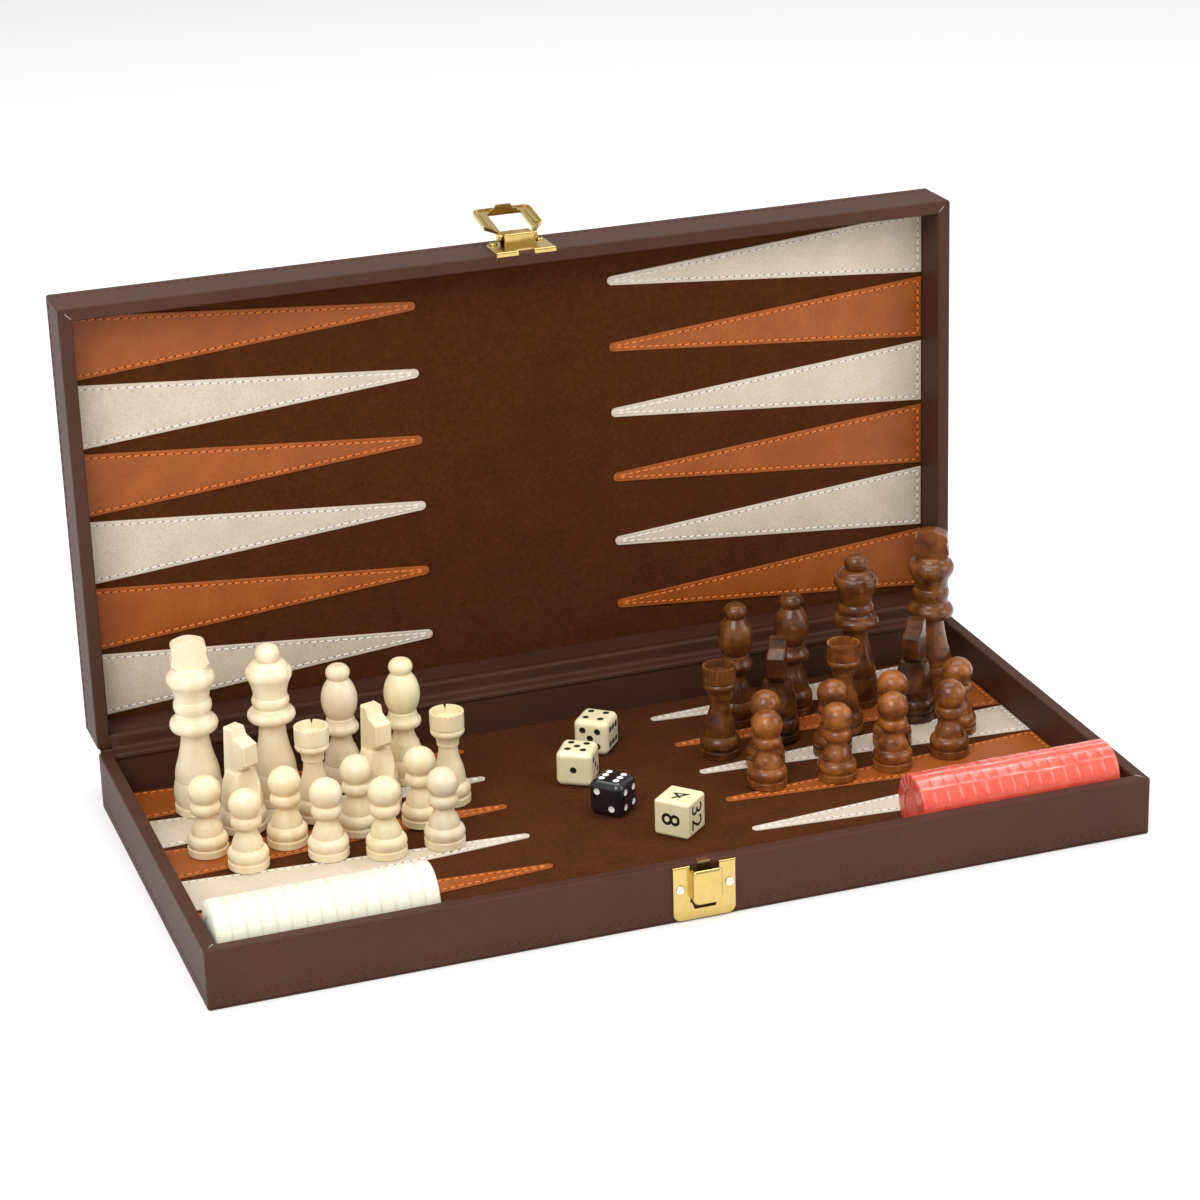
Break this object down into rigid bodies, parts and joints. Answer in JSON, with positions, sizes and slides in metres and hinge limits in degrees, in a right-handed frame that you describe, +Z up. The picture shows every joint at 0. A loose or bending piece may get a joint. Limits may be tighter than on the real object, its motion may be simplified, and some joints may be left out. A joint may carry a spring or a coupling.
{
  "type": "backgammon set",
  "caption": "Folding travel board case standing open, with sewn leather points, a brass latch, turned wooden chessmen, dice and two rolls of checkers.",
  "frame": {"origin": "centre of the base tray's underside", "axes": "+X along the case to the right, +Y back to the hinge, +Z up"},
  "size_m": [0.38, 0.229, 0.2235],
  "materials": {
    "leatherette": "fine-grained satin",
    "wood_board": "raw, hidden",
    "suede": "brushed, matt",
    "tan_leather": "grained satin",
    "cream_leather": "grained satin",
    "brass": "polished",
    "steel": "plated, bright",
    "light_wood": "satin lacquer",
    "dark_wood": "gloss lacquer",
    "ivory_plastic": "polished",
    "black_plastic": "polished",
    "light_plastic": "satin",
    "red_plastic": "polished",
    "clear_film": "clear, crinkled"
  },
  "bodies": {
    "base": {"base_outer_panel": "leatherette", "base_wall_frame": "wood_board", "base_wall_cover": "leatherette", "base_board_squares": "cream_leather", "base_lining": "suede", "base_tan_points": "tan_leather", "base_cream_points": "cream_leather", "hinge_strip": "leatherette", "catch_plate": "brass", "catch_screws": "steel"},
    "lid": {"lid_outer_panel": "leatherette", "lid_wall_frame": "wood_board", "lid_wall_cover": "leatherette", "lid_board_squares": "cream_leather", "lid_lining": "suede", "lid_tan_points": "tan_leather", "lid_cream_points": "cream_leather", "latch_plate": "brass", "latch_screws": "brass"},
    "lever": {"latch_lever": "brass"},
    "light_king": {"light_king": "light_wood"},
    "light_queen": {"light_queen": "light_wood"},
    "light_bishop_1": {"light_bishop_1": "light_wood"},
    "light_bishop_2": {"light_bishop_2": "light_wood"},
    "light_knight_1": {"light_knight_1": "light_wood"},
    "light_knight_2": {"light_knight_2": "light_wood"},
    "light_rook_1": {"light_rook_1": "light_wood"},
    "light_rook_2": {"light_rook_2": "light_wood"},
    "light_pawn_1": {"light_pawn_1": "light_wood"},
    "light_pawn_2": {"light_pawn_2": "light_wood"},
    "light_pawn_3": {"light_pawn_3": "light_wood"},
    "light_pawn_4": {"light_pawn_4": "light_wood"},
    "light_pawn_5": {"light_pawn_5": "light_wood"},
    "light_pawn_6": {"light_pawn_6": "light_wood"},
    "light_pawn_7": {"light_pawn_7": "light_wood"},
    "light_pawn_8": {"light_pawn_8": "light_wood"},
    "dark_king": {"dark_king": "dark_wood"},
    "dark_queen": {"dark_queen": "dark_wood"},
    "dark_bishop_1": {"dark_bishop_1": "dark_wood"},
    "dark_bishop_2": {"dark_bishop_2": "dark_wood"},
    "dark_knight_1": {"dark_knight_1": "dark_wood"},
    "dark_knight_2": {"dark_knight_2": "dark_wood"},
    "dark_rook_1": {"dark_rook_1": "dark_wood"},
    "dark_rook_2": {"dark_rook_2": "dark_wood"},
    "dark_pawn_1": {"dark_pawn_1": "dark_wood"},
    "dark_pawn_2": {"dark_pawn_2": "dark_wood"},
    "dark_pawn_3": {"dark_pawn_3": "dark_wood"},
    "dark_pawn_4": {"dark_pawn_4": "dark_wood"},
    "dark_pawn_5": {"dark_pawn_5": "dark_wood"},
    "dark_pawn_6": {"dark_pawn_6": "dark_wood"},
    "dark_pawn_7": {"dark_pawn_7": "dark_wood"},
    "dark_pawn_8": {"dark_pawn_8": "dark_wood"},
    "ivory_die_1": {"ivory_die_1": "ivory_plastic"},
    "ivory_die_2": {"ivory_die_2": "ivory_plastic"},
    "black_die": {"black_die": "black_plastic"},
    "doubling_cube": {"doubling_cube": "ivory_plastic"},
    "light_roll": {"light_checkers": "light_plastic", "light_wrap": "clear_film"},
    "red_roll": {"red_checkers": "red_plastic", "red_wrap": "clear_film"}
  },
  "joints": [
    {"name": "lid_hinge", "type": "hinge", "parent": "base", "child": "lid", "pos_m": [0, 0.0933, 0.0244], "axis": [-1, 0, 0], "range_deg": [-39, 89]},
    {"name": "lever_pivot", "type": "hinge", "parent": "lid", "child": "lever", "pos_m": [0.0017, 0.10922, 0.21435], "axis": [1, 0, 0], "range_deg": [-10, 142]},
    {"name": "light_king_lift", "type": "slide", "parent": "base", "child": "light_king", "axis": [0, 0, 1], "range_m": [0, 0.02]},
    {"name": "light_queen_lift", "type": "slide", "parent": "base", "child": "light_queen", "axis": [0, 0, 1], "range_m": [0, 0.02]},
    {"name": "light_bishop_1_lift", "type": "slide", "parent": "base", "child": "light_bishop_1", "axis": [0, 0, 1], "range_m": [0, 0.02]},
    {"name": "light_bishop_2_lift", "type": "slide", "parent": "base", "child": "light_bishop_2", "axis": [0, 0, 1], "range_m": [0, 0.02]},
    {"name": "light_knight_1_lift", "type": "slide", "parent": "base", "child": "light_knight_1", "axis": [0, 0, 1], "range_m": [0, 0.02]},
    {"name": "light_knight_2_lift", "type": "slide", "parent": "base", "child": "light_knight_2", "axis": [0, 0, 1], "range_m": [0, 0.02]},
    {"name": "light_rook_1_lift", "type": "slide", "parent": "base", "child": "light_rook_1", "axis": [0, 0, 1], "range_m": [0, 0.02]},
    {"name": "light_rook_2_lift", "type": "slide", "parent": "base", "child": "light_rook_2", "axis": [0, 0, 1], "range_m": [0, 0.02]},
    {"name": "light_pawn_1_lift", "type": "slide", "parent": "base", "child": "light_pawn_1", "axis": [0, 0, 1], "range_m": [0, 0.02]},
    {"name": "light_pawn_2_lift", "type": "slide", "parent": "base", "child": "light_pawn_2", "axis": [0, 0, 1], "range_m": [0, 0.02]},
    {"name": "light_pawn_3_lift", "type": "slide", "parent": "base", "child": "light_pawn_3", "axis": [0, 0, 1], "range_m": [0, 0.02]},
    {"name": "light_pawn_4_lift", "type": "slide", "parent": "base", "child": "light_pawn_4", "axis": [0, 0, 1], "range_m": [0, 0.02]},
    {"name": "light_pawn_5_lift", "type": "slide", "parent": "base", "child": "light_pawn_5", "axis": [0, 0, 1], "range_m": [0, 0.02]},
    {"name": "light_pawn_6_lift", "type": "slide", "parent": "base", "child": "light_pawn_6", "axis": [0, 0, 1], "range_m": [0, 0.02]},
    {"name": "light_pawn_7_lift", "type": "slide", "parent": "base", "child": "light_pawn_7", "axis": [0, 0, 1], "range_m": [0, 0.02]},
    {"name": "light_pawn_8_lift", "type": "slide", "parent": "base", "child": "light_pawn_8", "axis": [0, 0, 1], "range_m": [0, 0.02]},
    {"name": "dark_king_lift", "type": "slide", "parent": "base", "child": "dark_king", "axis": [0, 0, 1], "range_m": [0, 0.02]},
    {"name": "dark_queen_lift", "type": "slide", "parent": "base", "child": "dark_queen", "axis": [0, 0, 1], "range_m": [0, 0.02]},
    {"name": "dark_bishop_1_lift", "type": "slide", "parent": "base", "child": "dark_bishop_1", "axis": [0, 0, 1], "range_m": [0, 0.02]},
    {"name": "dark_bishop_2_lift", "type": "slide", "parent": "base", "child": "dark_bishop_2", "axis": [0, 0, 1], "range_m": [0, 0.02]},
    {"name": "dark_knight_1_lift", "type": "slide", "parent": "base", "child": "dark_knight_1", "axis": [0, 0, 1], "range_m": [0, 0.02]},
    {"name": "dark_knight_2_lift", "type": "slide", "parent": "base", "child": "dark_knight_2", "axis": [0, 0, 1], "range_m": [0, 0.02]},
    {"name": "dark_rook_1_lift", "type": "slide", "parent": "base", "child": "dark_rook_1", "axis": [0, 0, 1], "range_m": [0, 0.02]},
    {"name": "dark_rook_2_lift", "type": "slide", "parent": "base", "child": "dark_rook_2", "axis": [0, 0, 1], "range_m": [0, 0.02]},
    {"name": "dark_pawn_1_lift", "type": "slide", "parent": "base", "child": "dark_pawn_1", "axis": [0, 0, 1], "range_m": [0, 0.02]},
    {"name": "dark_pawn_2_lift", "type": "slide", "parent": "base", "child": "dark_pawn_2", "axis": [0, 0, 1], "range_m": [0, 0.02]},
    {"name": "dark_pawn_3_lift", "type": "slide", "parent": "base", "child": "dark_pawn_3", "axis": [0, 0, 1], "range_m": [0, 0.02]},
    {"name": "dark_pawn_4_lift", "type": "slide", "parent": "base", "child": "dark_pawn_4", "axis": [0, 0, 1], "range_m": [0, 0.02]},
    {"name": "dark_pawn_5_lift", "type": "slide", "parent": "base", "child": "dark_pawn_5", "axis": [0, 0, 1], "range_m": [0, 0.02]},
    {"name": "dark_pawn_6_lift", "type": "slide", "parent": "base", "child": "dark_pawn_6", "axis": [0, 0, 1], "range_m": [0, 0.02]},
    {"name": "dark_pawn_7_lift", "type": "slide", "parent": "base", "child": "dark_pawn_7", "axis": [0, 0, 1], "range_m": [0, 0.02]},
    {"name": "dark_pawn_8_lift", "type": "slide", "parent": "base", "child": "dark_pawn_8", "axis": [0, 0, 1], "range_m": [0, 0.02]},
    {"name": "ivory_die_1_lift", "type": "slide", "parent": "base", "child": "ivory_die_1", "axis": [0, 0, 1], "range_m": [0, 0.02]},
    {"name": "ivory_die_2_lift", "type": "slide", "parent": "base", "child": "ivory_die_2", "axis": [0, 0, 1], "range_m": [0, 0.02]},
    {"name": "black_die_lift", "type": "slide", "parent": "base", "child": "black_die", "axis": [0, 0, 1], "range_m": [0, 0.02]},
    {"name": "doubling_cube_lift", "type": "slide", "parent": "base", "child": "doubling_cube", "axis": [0, 0, 1], "range_m": [0, 0.02]},
    {"name": "light_roll_lift", "type": "slide", "parent": "base", "child": "light_roll", "axis": [0, 0, 1], "range_m": [0, 0.02]},
    {"name": "red_roll_lift", "type": "slide", "parent": "base", "child": "red_roll", "axis": [0, 0, 1], "range_m": [0, 0.02]}
  ]
}
